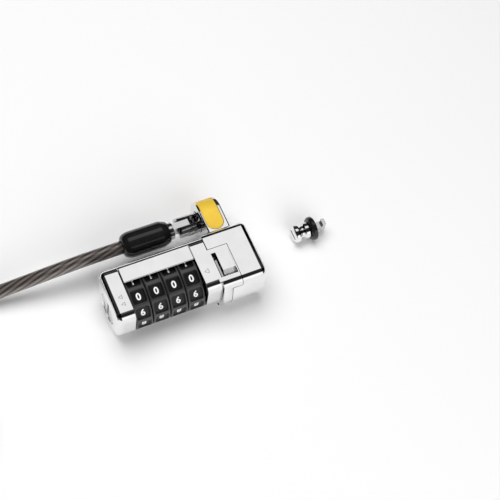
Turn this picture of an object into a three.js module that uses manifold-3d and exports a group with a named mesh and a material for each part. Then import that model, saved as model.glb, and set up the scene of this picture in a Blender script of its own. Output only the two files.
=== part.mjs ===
// Laptop cable lock: a four-wheel combination lock with a swivelling, pivoting cable end, a free steel
// cable wound into a coil and ending in an eye, and the small anchor that the lock clicks onto.
// Millimetres, +Z up. The lock lies on its flat underside, +X runs towards the end that takes the anchor,
// and the cable end is on the +Y side. The origin is the centre of the flat under the lock's head.
import * as THREE from 'three';
import { mergeVertices } from 'three/addons/utils/BufferGeometryUtils.js';
import Module from 'manifold-3d';

const wasm = await Module();
wasm.setup();

// ---- Driving dimensions ----
const GAP = 0.3;                 // clearance left between neighbouring pieces
const AXIS_HEIGHT = 11.9;        // wheel axis above the surface the lock lies on
const REST_X = 30;               // from the middle of the wheels to the centre of the head's underside
const PLATE_TOP = 12.5;          // flat top of the body above the wheel axis
const CAP = { plateHalf: 8.2, fillet: 3.8, round: 12.1 };
const HEAD = { plateHalf: 9.6, fillet: 3.4, round: 14.1 };
const OUTLINE_STEPS = 44;

const CAP_END = -23.4;           // places along X from the middle of the wheels
const CAP_FACE = -15.8;
const BLOCK_START = 15;
const SEAM = 20.9;
const TONGUE_END = 29.6;
const TONGUE_FRONT_END = 25.3;
const HEAD_END = 40.8;
const TONGUE_BACK_Y = 4.7;
const TONGUE_FRONT_Y = -9.3;
const TONGUE_LOW_Z = 9;
const TONGUE_FRONT_LOW_Z = -8.4;

const WHEEL = { count: 4, pitch: 7.55, width: 7.25, middle: -0.4, outer: 11.7, floor: 10.75, bore: 7.8 };
const DIGITS = 10;
const DIGIT_PHASE = 19.4;        // degrees from straight up to the reading line, towards -Y
const WHEEL_CLEARANCE = 12;
const HUB = { outer: 7.5, bore: 3.3, width: 5, slotHalf: 1.4, slotTop: 5.4 };
const SPINDLE = { radius: 2.9, start: -17.2, end: 29.6, collar: 4.5, collarStart: 26.7, collarEnd: 28 };
const FIN = { half: 1, top: 4.9, length: 0.6, ahead: 0.775 };
const CORNER_TILT = 43;          // degrees from straight up to the housing's upper back corner
const DETENT = { start: -11, end: 14.3, half: 2.4, inner: 12.25, outer: 12.65 };

const BUTTON = { start: 23.5, end: 28.9, back: 2.4, front: -6.05, toe: -8.1, rise: 0.9 };
const LATCH = { start: 31.5, end: 33.3, half: 6.4, low: -6.7, high: 7.4, travel: 2.4, grip: 2.3, pass: 4.4 };
const CAVITY = { end: 33.6, half: 7.6, low: -9.9 };
const SOCKET = { start: 33.9, wall: 6.2, bore: 4.6 };

const BARREL_Y = 22.7;           // barrel axis from the wheel axis
const BARREL_Z = 2.2;
const BARREL = { start: 15.7, end: 27, radius: 4.35, journal: 3.4, tail: 35 };
const SLOT = { end: 25.3, half: 1.75, floor: -2.3 };
const PIVOT_X = 20.9;
const LUG = { start: 25.25, end: 35.05, radius: 8.1, inner: 10 };
const INLAY = { start: 26.25, end: 33.4, thickness: 0.55, front: 13.3 };

const CABLE_RADIUS = 2.8;
const SLEEVE = { start: -8.4, end: 11.9, radius: 5.5, bore: 3.4, boreStart: -2 };
const COLLAR = { radius: 3.7, end: 13.8 };
const COIL = { x: -153.9, y: -13.8, outer: 40, inner: 20, top: 11.3 };
const TAIL = { start: 104, leave: 135, arc: 110, radius: 22.4, straight: 2, z: 14.2 };
const CRIMP = { length: 12, half: 6.4, height: 6.6 };
const EYE = { radius: 18, reach: 21.5, leg: 3.2, open: 232 };
const ANCHOR = { x: 33.4, y: 6.9, z: 5.2 };

// ---- Materials ----
const finish = (color, roughness, metalness) => new THREE.MeshStandardMaterial({ color, roughness, metalness });
const CHROME = finish(0xdedfe0, 0.12, 1);
const STEEL = finish(0xa9a8a6, 0.3, 1);
const SPRING_STEEL = finish(0x8d8f92, 0.35, 1);
const BRASS = finish(0xb89a55, 0.35, 1);
const BLACK_WHEEL = finish(0x1b1b1c, 0.45, 0);
const BLACK_PLASTIC = finish(0x0e0e0f, 0.2, 0);
const YELLOW = finish(0xe8c33f, 0.4, 0);
const CABLE_SKIN = finish(0x6b605a, 0.3, 0.4);

// ---- Solids ----
function solid(geometry) {
  const bare = geometry.index ? geometry.clone() : geometry;
  bare.deleteAttribute('normal');
  bare.deleteAttribute('uv');
  const merged = mergeVertices(bare, 1e-4);
  return new wasm.Manifold(new wasm.Mesh({
    numProp: 3,
    vertProperties: new Float32Array(merged.attributes.position.array),
    triVerts: new Uint32Array(merged.index.array),
  }));
}

function geometryOf(body) {
  const mesh = body.getMesh();
  const geometry = new THREE.BufferGeometry();
  geometry.setAttribute('position', new THREE.BufferAttribute(mesh.vertProperties, 3));
  geometry.setIndex(new THREE.BufferAttribute(mesh.triVerts, 1));
  return geometry;
}

function part(name, body, material) {
  const mesh = new THREE.Mesh(geometryOf(body), material);
  mesh.name = name;
  return mesh;
}

// Turns the axes so that what was built along Z runs along X, with its X and Y becoming Y and Z.
const ALONG_X = new THREE.Matrix4().set(0, 0, 1, 0, 1, 0, 0, 0, 0, 1, 0, 0, 0, 0, 0, 1);

function extrudeX(points, start, end) {
  const shape = new THREE.Shape(points.map(([y, z]) => new THREE.Vector2(y, z)));
  const geometry = new THREE.ExtrudeGeometry(shape, { depth: end - start, bevelEnabled: false, steps: 1 });
  geometry.applyMatrix4(ALONG_X);
  return solid(geometry.translate(start, 0, 0));
}

function rodX(radius, start, end, y = 0, z = 0, segments = 32) {
  const geometry = new THREE.CylinderGeometry(radius, radius, end - start, segments);
  geometry.rotateZ(-Math.PI / 2);
  return solid(geometry.translate((start + end) / 2, y, z));
}

function rodY(radius, start, end, x, z, segments = 24) {
  const geometry = new THREE.CylinderGeometry(radius, radius, end - start, segments);
  return solid(geometry.translate(x, (start + end) / 2, z));
}

function box(x0, x1, y0, y1, z0, z1) {
  const geometry = new THREE.BoxGeometry(x1 - x0, y1 - y0, z1 - z0);
  return solid(geometry.translate((x0 + x1) / 2, (y0 + y1) / 2, (z0 + z1) / 2));
}

// A profile of [x, radius] pairs turned about the X axis.
function latheX(profile, segments = 32) {
  const geometry = new THREE.LatheGeometry(profile.map(([x, r]) => new THREE.Vector2(r, x)), segments);
  geometry.rotateZ(-Math.PI / 2);
  return solid(geometry);
}

// Cross-section of the body: the outline round a large circle and two shoulder circles, cut flat on top and
// underneath. An inset makes the circles smaller and the top lower.
function bodyOutline({ plateHalf, fillet, round }, inset = 0) {
  const circles = [
    [-plateHalf, PLATE_TOP - fillet, fillet - inset],
    [plateHalf, PLATE_TOP - fillet, fillet - inset],
    [0, 0, round - inset],
  ];
  const points = [];
  for (let i = 0; i <= OUTLINE_STEPS; i++) {
    const angle = Math.PI / 2 + (2 * Math.PI * i) / OUTLINE_STEPS;
    const towards = i === 0 ? angle + 1e-6 : angle - 1e-6;
    const reach = ([y, z, r]) => y * Math.cos(towards) + z * Math.sin(towards) + r;
    const [y, z, r] = circles.reduce((best, circle) => (reach(circle) > reach(best) ? circle : best));
    const height = THREE.MathUtils.clamp(z + r * Math.sin(angle), -AXIS_HEIGHT, PLATE_TOP - inset);
    points.push([y + r * Math.cos(angle), height]);
  }
  return points;
}

// A closed body through equal outlines standing at several places along X.
function loftX(sections) {
  const count = sections[0].points.length;
  const positions = sections.flatMap(({ x, points }) => points.flatMap(([y, z]) => [x, y, z]));
  const index = [];
  for (let s = 0; s + 1 < sections.length; s++) {
    for (let i = 0; i < count; i++) {
      const a = s * count + i;
      const b = s * count + ((i + 1) % count);
      index.push(a, b, a + count, b, b + count, a + count);
    }
  }
  const last = (sections.length - 1) * count;
  for (let i = 1; i + 1 < count; i++) {
    index.push(0, i + 1, i, last, last + i, last + i + 1);
  }
  const geometry = new THREE.BufferGeometry();
  geometry.setAttribute('position', new THREE.Float32BufferAttribute(positions, 3));
  geometry.setIndex(index);
  return solid(geometry);
}

function bodyBlock(section, start, end, startInset = 0, endInset = 0) {
  const sections = [];
  if (startInset > 0) sections.push({ x: start, points: bodyOutline(section, startInset) });
  sections.push({ x: start + startInset, points: bodyOutline(section) });
  sections.push({ x: end - endInset, points: bodyOutline(section) });
  if (endInset > 0) sections.push({ x: end, points: bodyOutline(section, endInset) });
  return loftX(sections);
}

// ---- Lock body, round the wheel axis ----
function rearCap() {
  return bodyBlock(CAP, CAP_END, CAP_FACE, 1.7)
    .subtract(rodX(6.5, CAP_END - 1, -20.6))
    .subtract(rodX(4.4, -21, -18.9))
    .subtract(rodX(SPINDLE.radius + GAP, -19, CAP_FACE + 1))
    .subtract(rodX(1.2, -19.5, CAP_FACE + 1, 9.9, 9, 12));
}

function codeChangeScrew() {
  return rodX(6.2, CAP_END + 0.15, -20.9)
    .add(rodX(4.1, -21, -19.2))
    .subtract(box(CAP_END, CAP_END + 1.1, -0.7, 0.7, -4.6, 4.6));
}

function mainHousing() {
  const wall = bodyBlock(CAP, CAP_FACE + GAP, BLOCK_START + 1)
    .subtract(rodX(WHEEL_CLEARANCE, CAP_FACE, BLOCK_START, 0, 0, 56))
    .subtract(box(CAP_FACE, BLOCK_START, -20, 2.5, -20, 20))
    .subtract(box(CAP_FACE, BLOCK_START, -20, 20, -20, -4.5))
    .subtract(box(CAP_FACE, BLOCK_START, -20, 9.9, 11.4, 20))
    .subtract(cornerSlab(DETENT.start - GAP, DETENT.end + GAP, -DETENT.half - GAP, DETENT.half + GAP, 10,
      DETENT.outer + GAP));
  const block = bodyBlock(CAP, BLOCK_START, SEAM + 0.5);
  const tongue = bodyBlock(HEAD, SEAM, TONGUE_END)
    .intersect(box(SEAM, TONGUE_END, -20, TONGUE_BACK_Y, TONGUE_LOW_Z, 20)
      .add(box(SEAM, TONGUE_FRONT_END, -20, TONGUE_FRONT_Y, TONGUE_FRONT_LOW_Z, TONGUE_LOW_Z + 1)));
  return wall
    .add(block.intersect(box(BLOCK_START, SEAM, -20, 20, -20, 20)))
    .add(tongue)
    .subtract(box(SEAM - 0.2, SEAM + 0.6, -20, -10.6, -9, 13))
    .subtract(box(21.8, 29.2, -8.5, 2.7, TONGUE_LOW_Z - 1, 14))
    .subtract(rodX(SPINDLE.radius + GAP, BLOCK_START - 1, SEAM + 1))
    .subtract(rodX(5.7, BLOCK_START - 1, 16.2))
    .subtract(rodX(1.2, CAP_FACE - 1, -11.5, 9.9, 9, 12));
}

function capDowel() {
  return rodX(0.9, -19.2, -11.9, 9.9, 9, 12);
}

function labelBand() {
  const outline = [[2.8, 11.75], [9.5, 11.75], [9.5, 12.65], [9.25, 12.9], [2.8, 12.9]];
  return extrudeX(outline, CAP_FACE + GAP, BLOCK_START - GAP);
}

function wheelCentre(i) {
  return WHEEL.middle + (i - (WHEEL.count - 1) / 2) * WHEEL.pitch;
}

// Digit pockets are flats of the wheel's rim, with a rib between each pair.
function numberWheel() {
  const points = [];
  for (let digit = 0; digit < DIGITS; digit++) {
    const facing = 90 + DIGIT_PHASE + digit * (360 / DIGITS);
    for (const [turn, radius] of [[-16.5, WHEEL.outer], [-13, WHEEL.floor], [0, WHEEL.floor], [13, WHEEL.floor],
      [16.5, WHEEL.outer]]) {
      const angle = THREE.MathUtils.degToRad(facing + turn);
      points.push([radius * Math.cos(angle), radius * Math.sin(angle)]);
    }
  }
  const half = WHEEL.width / 2;
  return extrudeX(points, -half, half).subtract(rodX(WHEEL.bore, -half - 1, half + 1));
}

function wheelHub() {
  const half = HUB.width / 2;
  return rodX(HUB.outer, -half, half)
    .subtract(rodX(HUB.bore, -half - 1, half + 1, 0, 0, 24))
    .subtract(box(-half - 1, half + 1, -HUB.slotHalf, HUB.slotHalf, 0, HUB.slotTop));
}

// The spindle's fins stand in the gaps between the hubs, at both ends of its travel.
function spindle() {
  let body = rodX(SPINDLE.radius, SPINDLE.start, SPINDLE.end, 0, 0, 24)
    .add(rodX(SPINDLE.collar, SPINDLE.collarStart, SPINDLE.collarEnd, 0, 0, 24));
  for (let i = 0; i < WHEEL.count; i++) {
    const x = wheelCentre(i) + WHEEL.pitch / 2 + FIN.ahead;
    body = body.add(box(x - FIN.length / 2, x + FIN.length / 2, -FIN.half, FIN.half, 0, FIN.top));
  }
  return body;
}

// A slab lying across the housing's upper back corner, between two distances from the wheel axis.
function cornerSlab(start, end, low, high, inner, outer) {
  const geometry = new THREE.BoxGeometry(end - start, high - low, outer - inner);
  geometry.translate((start + end) / 2, (low + high) / 2, (inner + outer) / 2);
  return solid(geometry.rotateX(THREE.MathUtils.degToRad(-CORNER_TILT)));
}

// A leaf in the corner behind the wheels, with one finger for each wheel's ribs.
function detentSpring() {
  const { start, end, half, inner, outer } = DETENT;
  let body = cornerSlab(start, end, -half, half, inner, outer);
  for (let i = 0; i + 1 < WHEEL.count; i++) {
    const middle = wheelCentre(i) + WHEEL.pitch / 2;
    body = body.subtract(cornerSlab(middle - 0.8, middle + 0.8, -half - 1, half - 1.2, inner - 1, outer + 1));
  }
  return body;
}

function headSleeve() {
  return bodyBlock(HEAD, SEAM + GAP, HEAD_END, 0, 1.8)
    .subtract(box(SEAM, TONGUE_END + GAP, -20, TONGUE_BACK_Y + GAP, TONGUE_LOW_Z - GAP, 20))
    .subtract(box(SEAM, TONGUE_FRONT_END + GAP, -20, TONGUE_FRONT_Y + GAP, TONGUE_FRONT_LOW_Z - GAP,
      TONGUE_LOW_Z))
    .subtract(box(SEAM, CAVITY.end, -CAVITY.half, CAVITY.half, CAVITY.low, TONGUE_LOW_Z - GAP / 2))
    .subtract(rodX(SOCKET.wall + GAP, CAVITY.end - 1, HEAD_END + 1));
}

// A thumb slide: a raised pad with a ribbed toe, a wide foot under the housing and a fork that holds the
// spindle's collar.
function releaseButton() {
  const { start, end, back, front, toe, rise } = BUTTON;
  const top = PLATE_TOP + rise;
  const side = [[back, 7.5], [back, top], [front, top], [toe, PLATE_TOP - 0.9], [toe, 9.3], [-6.9, 9.3],
    [-6.9, 7.5]];
  let body = extrudeX(side, start, end).add(box(start - 0.4, 31, -7, 5, 7, 8.6));
  for (let rib = 0; rib < 3; rib++) {
    const y = front - 0.35 - rib * 0.65;
    const z = top - 0.35 - rib * 0.62;
    body = body.subtract(box(start - 1, end + 1, y - 0.16, y + 0.16, z, z + 2));
  }
  const cheek = 1.4;
  const fork = box(SPINDLE.collarStart - cheek, SPINDLE.collarEnd + cheek, -5.6, 5.6, -1, 7.2)
    .subtract(box(SPINDLE.collarStart - GAP, SPINDLE.collarEnd + GAP, -SPINDLE.collar - GAP,
      SPINDLE.collar + GAP, -2, SPINDLE.collar + GAP))
    .subtract(box(SPINDLE.collarStart - 2, SPINDLE.collarEnd + 2, -SPINDLE.radius - GAP,
      SPINDLE.radius + GAP, -2, SPINDLE.radius + GAP));
  return body.add(fork);
}

function latchPlate() {
  const { start, end, half, low, high, travel, grip, pass } = LATCH;
  return box(start, end, -half, half, low, high)
    .subtract(rodX(pass, start - 1, end + 1, 0, travel, 28))
    .subtract(rodX(grip, start - 1, end + 1, 0, 0, 24))
    .subtract(box(start - 1, end + 1, -grip, grip, 0, travel));
}

function ringX(outer, inner, start, end, y = 0, z = 0, segments = 24) {
  return rodX(outer, start, end, y, z, segments)
    .subtract(rodX(inner, start - 1, end + 1, y, z, segments));
}

function latchSpring() {
  const middle = (LATCH.start + LATCH.end) / 2;
  const geometry = new THREE.CylinderGeometry(0.8, 0.8, LATCH.low - CAVITY.low - 2 * GAP, 16);
  return solid(geometry.translate(middle, 0, (LATCH.low + CAVITY.low) / 2));
}

// ---- Cable end, on the side of the head ----
function stadium(radius, inner, steps = 14) {
  const points = [];
  for (let i = 0; i <= steps; i++) {
    const angle = -Math.PI / 2 + (Math.PI * i) / steps;
    points.push([BARREL_Y + radius * Math.cos(angle), BARREL_Z + radius * Math.sin(angle)]);
  }
  points.push([inner, BARREL_Z + radius], [inner, BARREL_Z - radius]);
  return points;
}

function inlayBand(start, end, outer, inner, front) {
  const half = (end - start) / 2;
  const nose = solid(new THREE.CylinderGeometry(half, half, 12, 24).rotateX(Math.PI / 2)
    .translate((start + end) / 2, front + half, BARREL_Z + LUG.radius));
  return extrudeX(stadium(outer, LUG.inner), start, end)
    .subtract(extrudeX(stadium(inner, LUG.inner - 1), start - 1, end + 1))
    .intersect(nose.add(box(start, end, front + half, 40, -4, 20)));
}

function cableLug() {
  const chamfer = 0.45;
  const outline = (inset) => stadium(LUG.radius - inset, LUG.inner);
  const block = loftX([
    { x: LUG.start, points: outline(chamfer) },
    { x: LUG.start + chamfer, points: outline(0) },
    { x: LUG.end - chamfer, points: outline(0) },
    { x: LUG.end, points: outline(chamfer) },
  ]);
  const head = { plateHalf: HEAD.plateHalf, fillet: HEAD.fillet + GAP, round: HEAD.round + GAP };
  const recess = inlayBand(INLAY.start - GAP, INLAY.end + GAP, LUG.radius + 1,
    LUG.radius - INLAY.thickness - GAP, INLAY.front - GAP);
  return block
    .subtract(loftX([20, 38].map((x) => ({ x, points: bodyOutline(head) }))))
    .subtract(rodX(BARREL.radius + GAP, LUG.start - 1, BARREL.end + GAP, BARREL_Y, BARREL_Z))
    .subtract(rodX(BARREL.journal + GAP, LUG.start, LUG.end + 1, BARREL_Y, BARREL_Z))
    .subtract(rodX(5.6, 33.4, LUG.end + 1, BARREL_Y, BARREL_Z))
    .subtract(recess);
}

function lugInlay() {
  return inlayBand(INLAY.start, INLAY.end, LUG.radius, LUG.radius - INLAY.thickness, INLAY.front);
}

// The barrel's open end is rounded about the pivot, so that it clears the cable's neck as it turns.
function swivelBarrel() {
  const { start, end, radius, journal, tail } = BARREL;
  const clearing = rodY(PIVOT_X - start, -6, 6, PIVOT_X, 0, 40).add(box(PIVOT_X, tail + 1, -6, 6, -6, 6));
  return rodX(radius, start, end)
    .add(rodX(journal, end - 0.5, tail - GAP, 0, 0, 24))
    .subtract(ringX(radius, 2.7, 33.5, 34.4))
    .intersect(clearing)
    .subtract(box(start - 1, SLOT.end - SLOT.half, -SLOT.half, SLOT.half, SLOT.floor, 6))
    .subtract(solid(new THREE.CylinderGeometry(SLOT.half, SLOT.half, 6 - SLOT.floor, 16).rotateX(Math.PI / 2)
      .translate(SLOT.end - SLOT.half, 0, (6 + SLOT.floor) / 2)))
    .subtract(rodY(1.3, -6, 6, PIVOT_X, 0, 20));
}

function barrelClip() {
  return ringX(4.9, 3, 33.8, 34.1).subtract(box(33, 35, -1, 1, 0, 6));
}

function pivotPin() {
  return rodY(1, -4.1, 4.1, PIVOT_X, 0, 20);
}

function cableFerrule() {
  const height = 3.4;
  const eye = SLOT.floor * -1 - GAP;
  return box(COLLAR.end - 0.1, PIVOT_X, -1.4, 1.4, -eye, height)
    .add(rodY(eye, -1.4, 1.4, PIVOT_X, 0, 24))
    .intersect(box(COLLAR.end - 1, PIVOT_X + 5, -1.4, 1.4, -6, 6))
    .add(rodX(COLLAR.radius, SLEEVE.end + GAP, COLLAR.end, 0, 0, 32))
    .add(rodX(SLEEVE.bore - GAP, SLEEVE.boreStart + GAP, SLEEVE.end + 0.5, 0, 0, 24))
    .subtract(rodY(1.3, -6, 6, PIVOT_X, 0, 20));
}

function strainSleeve() {
  const { start, end, radius } = SLEEVE;
  const nose = [];
  const reach = 4.2;
  for (let i = 0; i <= 5; i++) {
    const angle = (Math.PI / 2) * (i / 5);
    nose.push([start + reach * (1 - Math.cos(angle)), 3 + (radius - 3) * Math.sin(angle)]);
  }
  const profile = [[start, 0], ...nose, [end - 3, radius], [end, 4.4], [end, 0]];
  return latheX(profile).subtract(rodX(SLEEVE.bore, SLEEVE.boreStart, end + 1, 0, 0, 24));
}

// ---- Cable, in the part's own frame ----
const ROUTE = [
  [-38.7, 22.7, 14.1], [-44, 22.7, 14.1], [-50, 22.7, 14.0], [-56, 22.8, 13.65], [-62, 22.95, 12.9],
  [-68, 23.2, 11.9], [-74, 23.5, 10.7], [-80, 23.9, 9.3], [-86, 24.3, 7.9], [-92, 24.7, 6.5],
  [-98, 25.1, 5.2], [-104, 25.5, 4.1], [-110, 25.8, 3.4], [-116, 26, 3], [-123, 26.15, 2.87],
  [-131, 26.2, 2.85],
];
const END_TURN = TAIL.leave + TAIL.arc;
const LIFT = COIL.top + 0.05 + CRIMP.height / 2;    // height of the crimp's middle, lying on the coil

function round(x, y, radius, degrees, z) {
  const angle = THREE.MathUtils.degToRad(degrees);
  return [x + radius * Math.cos(angle), y + radius * Math.sin(angle), z];
}

// The last stretch lies on the coil: along its outer turn, then in a tighter arc across it to the crimp.
function tailRoute() {
  const points = [];
  for (let i = 0; i <= 3; i++) {
    const degrees = TAIL.start + (i / 4) * (TAIL.leave - TAIL.start);
    points.push(round(COIL.x, COIL.y, COIL.outer, degrees, TAIL.z));
  }
  const [x, y] = round(COIL.x, COIL.y, COIL.outer - TAIL.radius, TAIL.leave, 0);
  for (let i = 0; i <= 8; i++) {
    points.push(round(x, y, TAIL.radius, TAIL.leave + (i / 8) * TAIL.arc, TAIL.z + (i / 8) * (LIFT - TAIL.z)));
  }
  points.push(round(...points.at(-1).slice(0, 2), TAIL.straight, END_TURN + 90, LIFT));
  return points;
}

function tube(points, steps, radius = CABLE_RADIUS, sides = 10) {
  const path = new THREE.CatmullRomCurve3(points.map(([x, y, z]) => new THREE.Vector3(x, y, z)));
  const section = new THREE.Shape();
  for (let i = 0; i < sides; i++) {
    const angle = (2 * Math.PI * i) / sides;
    const move = i === 0 ? 'moveTo' : 'lineTo';
    section[move](radius * Math.cos(angle), radius * Math.sin(angle));
  }
  return solid(new THREE.ExtrudeGeometry(section, { steps, bevelEnabled: false, extrudePath: path }));
}

function cableCoil() {
  const inner = COIL.inner - CABLE_RADIUS;
  const outer = COIL.outer + CABLE_RADIUS;
  const bevel = 1.4;
  const profile = [
    [inner, bevel], [inner + bevel, 0.05], [outer - bevel, 0.05], [outer, bevel], [outer, COIL.top - bevel],
    [outer - bevel, COIL.top], [inner + bevel, COIL.top], [inner, COIL.top - bevel], [inner, bevel],
  ].map(([r, z]) => new THREE.Vector2(r, z));
  const geometry = new THREE.LatheGeometry(profile, 40);
  geometry.rotateX(Math.PI / 2);
  return solid(geometry.translate(COIL.x, COIL.y, 0));
}

// The crimp and the eye run along Y from the end of the tail, with the cable's middle at height 0.
function endEye() {
  const root = CRIMP.length + GAP;
  const middle = root + EYE.reach;
  const points = [[-EYE.leg, root, 0], [-EYE.leg, root + 1.5, 0]];
  for (let i = 0; i <= 12; i++) {
    const degrees = EYE.open - (i / 12) * (2 * EYE.open - 180);
    points.push(round(0, middle, EYE.radius, degrees, 0));
  }
  points.push([EYE.leg, root + 1.5, 0], [EYE.leg, root, 0]);
  return tube(points, 46, CABLE_RADIUS, 8);
}

function eyeCrimp() {
  const { length, half, height } = CRIMP;
  const r = height / 2;
  const shape = new THREE.Shape();
  shape.moveTo(-half + r, -r);
  shape.lineTo(half - r, -r);
  shape.absarc(half - r, 0, r, -Math.PI / 2, Math.PI / 2, false);
  shape.lineTo(-half + r, r);
  shape.absarc(-half + r, 0, r, Math.PI / 2, (3 * Math.PI) / 2, false);
  const geometry = new THREE.ExtrudeGeometry(shape, { depth: length, bevelEnabled: false, curveSegments: 8 });
  geometry.rotateX(Math.PI / 2);
  return solid(geometry.translate(0, length, 0));
}

// ---- Anchor, lying beside the lock, its own axis along X ----
function anchorStud() {
  return latheX([
    [0, 0], [0, 3.2], [0.6, 3.9], [2.4, 3.9], [2.9, 3.3], [3.2, 2.7], [4.6, 2.7], [5, 3.5], [7, 3.5],
    [7, 1.6], [9.8, 1.6], [9.8, 0],
  ], 28).subtract(box(-0.5, 0.8, -2.4, 2.4, -0.5, 0.5));
}

function anchorCollar() {
  return latheX([[7.3, 1.9], [7.3, 4.5], [8, 5.15], [9.4, 5.15], [9.8, 4.8], [9.8, 1.9], [7.3, 1.9]], 28);
}

function anchorBar() {
  return box(10.1, 13.2, -1.4, 1.4, -1.4, 1.4).add(box(13.1, 14.6, -1.45, 1.45, -3.2, 3.2));
}

// ---- Assembly ----
const group = new THREE.Group();

const lock = new THREE.Group();
lock.position.set(-REST_X, 0, AXIS_HEIGHT);
lock.add(part('rear_cap', rearCap(), CHROME));
lock.add(part('code_change_screw', codeChangeScrew(), STEEL));
lock.add(part('cap_dowel', capDowel(), STEEL));
lock.add(part('main_housing', mainHousing(), CHROME));
lock.add(part('label_band', labelBand(), CHROME));
lock.add(part('detent_spring', detentSpring(), SPRING_STEEL));
lock.add(part('spindle', spindle(), STEEL));
lock.add(part('spindle_spring', ringX(4.3, 3.3, SEAM + GAP, 24.8), SPRING_STEEL));
lock.add(part('head_sleeve', headSleeve(), CHROME));
lock.add(part('release_button', releaseButton(), CHROME));
lock.add(part('latch_plate', latchPlate(), STEEL));
lock.add(part('latch_spring', latchSpring(), SPRING_STEEL));
lock.add(part('anchor_socket', ringX(SOCKET.wall, SOCKET.bore, SOCKET.start, HEAD_END - 0.2), BLACK_PLASTIC));
lock.add(part('cable_lug', cableLug(), CHROME));
lock.add(part('lug_inlay', lugInlay(), YELLOW));
for (let i = 0; i < WHEEL.count; i++) {
  const wheel = part(`number_wheel_${i + 1}`, numberWheel(), BLACK_WHEEL);
  const hub = part(`wheel_hub_${i + 1}`, wheelHub(), BRASS);
  wheel.position.x = wheelCentre(i);
  hub.position.x = wheelCentre(i);
  lock.add(wheel, hub);
}
group.add(lock);

const cableEnd = new THREE.Group();
cableEnd.position.set(-REST_X, BARREL_Y, AXIS_HEIGHT + BARREL_Z);
cableEnd.add(part('swivel_barrel', swivelBarrel(), STEEL));
cableEnd.add(part('barrel_clip', barrelClip(), SPRING_STEEL));
cableEnd.add(part('pivot_pin', pivotPin(), STEEL));
cableEnd.add(part('cable_ferrule', cableFerrule(), STEEL));
cableEnd.add(part('strain_sleeve', strainSleeve(), BLACK_PLASTIC));
group.add(cableEnd);

group.add(part('cable', tube(ROUTE, 19), CABLE_SKIN));
group.add(part('cable_coil', cableCoil(), CABLE_SKIN));
group.add(part('cable_tail', tube(tailRoute(), 14), CABLE_SKIN));

const cableTip = new THREE.Group();
cableTip.position.set(...round(...tailRoute().at(-1).slice(0, 2), GAP, END_TURN + 90, LIFT));
cableTip.rotation.z = THREE.MathUtils.degToRad(END_TURN);
cableTip.add(part('eye_crimp', eyeCrimp(), BLACK_PLASTIC));
cableTip.add(part('end_eye', endEye(), CABLE_SKIN));
group.add(cableTip);

const anchor = new THREE.Group();
anchor.position.set(ANCHOR.x, ANCHOR.y, ANCHOR.z);
anchor.add(part('anchor_stud', anchorStud(), CHROME));
anchor.add(part('anchor_collar', anchorCollar(), BLACK_PLASTIC));
anchor.add(part('anchor_bar', anchorBar(), STEEL));
group.add(anchor);

export default group;
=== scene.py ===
"""Looks for the laptop cable lock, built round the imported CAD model.

Shapes are given in millimetres in the lock's own frame, whose origin is the middle of the wheels on their
axis, with X along the lock and Z up. at() turns them into the part's frame in metres.
"""

import math

import bmesh
import bpy
from mathutils import Matrix, Vector


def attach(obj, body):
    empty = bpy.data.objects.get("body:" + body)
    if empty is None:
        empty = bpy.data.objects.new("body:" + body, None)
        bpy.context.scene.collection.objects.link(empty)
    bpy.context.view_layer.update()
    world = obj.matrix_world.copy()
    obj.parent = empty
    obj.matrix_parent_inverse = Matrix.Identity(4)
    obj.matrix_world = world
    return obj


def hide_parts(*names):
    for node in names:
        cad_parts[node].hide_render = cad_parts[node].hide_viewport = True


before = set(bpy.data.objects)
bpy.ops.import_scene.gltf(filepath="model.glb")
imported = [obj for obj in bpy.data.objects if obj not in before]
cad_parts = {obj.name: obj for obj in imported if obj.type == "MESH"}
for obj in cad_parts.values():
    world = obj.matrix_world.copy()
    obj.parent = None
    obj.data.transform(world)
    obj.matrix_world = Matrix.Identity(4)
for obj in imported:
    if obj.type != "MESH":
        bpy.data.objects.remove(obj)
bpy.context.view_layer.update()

# ---- Driving dimensions, in millimetres ----
MM = 0.001
LOCK_ORIGIN = Vector((-30, 0, 11.9))
GAP = 0.3
REST = -11.9                    # height of the surface in the lock's frame
PLATE_TOP = 12.5
CAP = dict(half=8.2, fillet=3.8, round=12.1)
HEAD = dict(half=9.6, fillet=3.4, round=14.1)
CAP_END, CAP_FACE = -23.4, -15.8
BLOCK_START, SEAM = 15, 20.9
TONGUE_END, TONGUE_FRONT_END, HEAD_END = 29.6, 25.3, 40.8
TONGUE_BACK, TONGUE_FRONT = 4.7, -9.3
TONGUE_LOW, TONGUE_FRONT_LOW = 9, -8.4
WHEEL_X = [-0.4 + (i - 1.5) * 7.55 for i in range(4)]
WHEEL = dict(half=3.625, outer=11.7, floor=10.7, bore=7.8)
DIGIT_PHASE = 19.4              # degrees
BARREL_Y, BARREL_Z = 22.7, 2.2
LUG_START, LUG_END, LUG_RADIUS, LUG_INNER = 25.25, 35.05, 8.1, 10
INLAY_START, INLAY_END, INLAY_FRONT = 26.25, 33.4, 13.3
BARREL_START, BARREL_END, BARREL_RADIUS, JOURNAL, BARREL_TAIL = 15.7, 27, 4.35, 3.4, 35
SLOT_END, SLOT_HALF, SLOT_FLOOR, PIVOT_X = 25.3, 1.75, -2.3, 20.9
CABLE_RADIUS = 2.8
MARK_DEPTH = 0.14
END_EDGE = 2.4                  # radius of the rounded edge at each end of the lock
WINDOW = (21.8, 29.2, -8.5, 2.7)    # opening for the thumb slide: from x to x, from y to y
SLEEVE_END, COLLAR_RADIUS, COLLAR_END = 11.9, 3.7, 13.8
ANCHOR = Vector((63.4, 6.9, -6.7))


def at(x, y, z):
    """A point of the lock's frame, in the part's frame and metres."""
    return (LOCK_ORIGIN + Vector((x, y, z))) * MM


# ---- Mesh helpers ----
FLAT = math.cos(math.radians(0.9))      # faces this square to an axis are shaded flat


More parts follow.
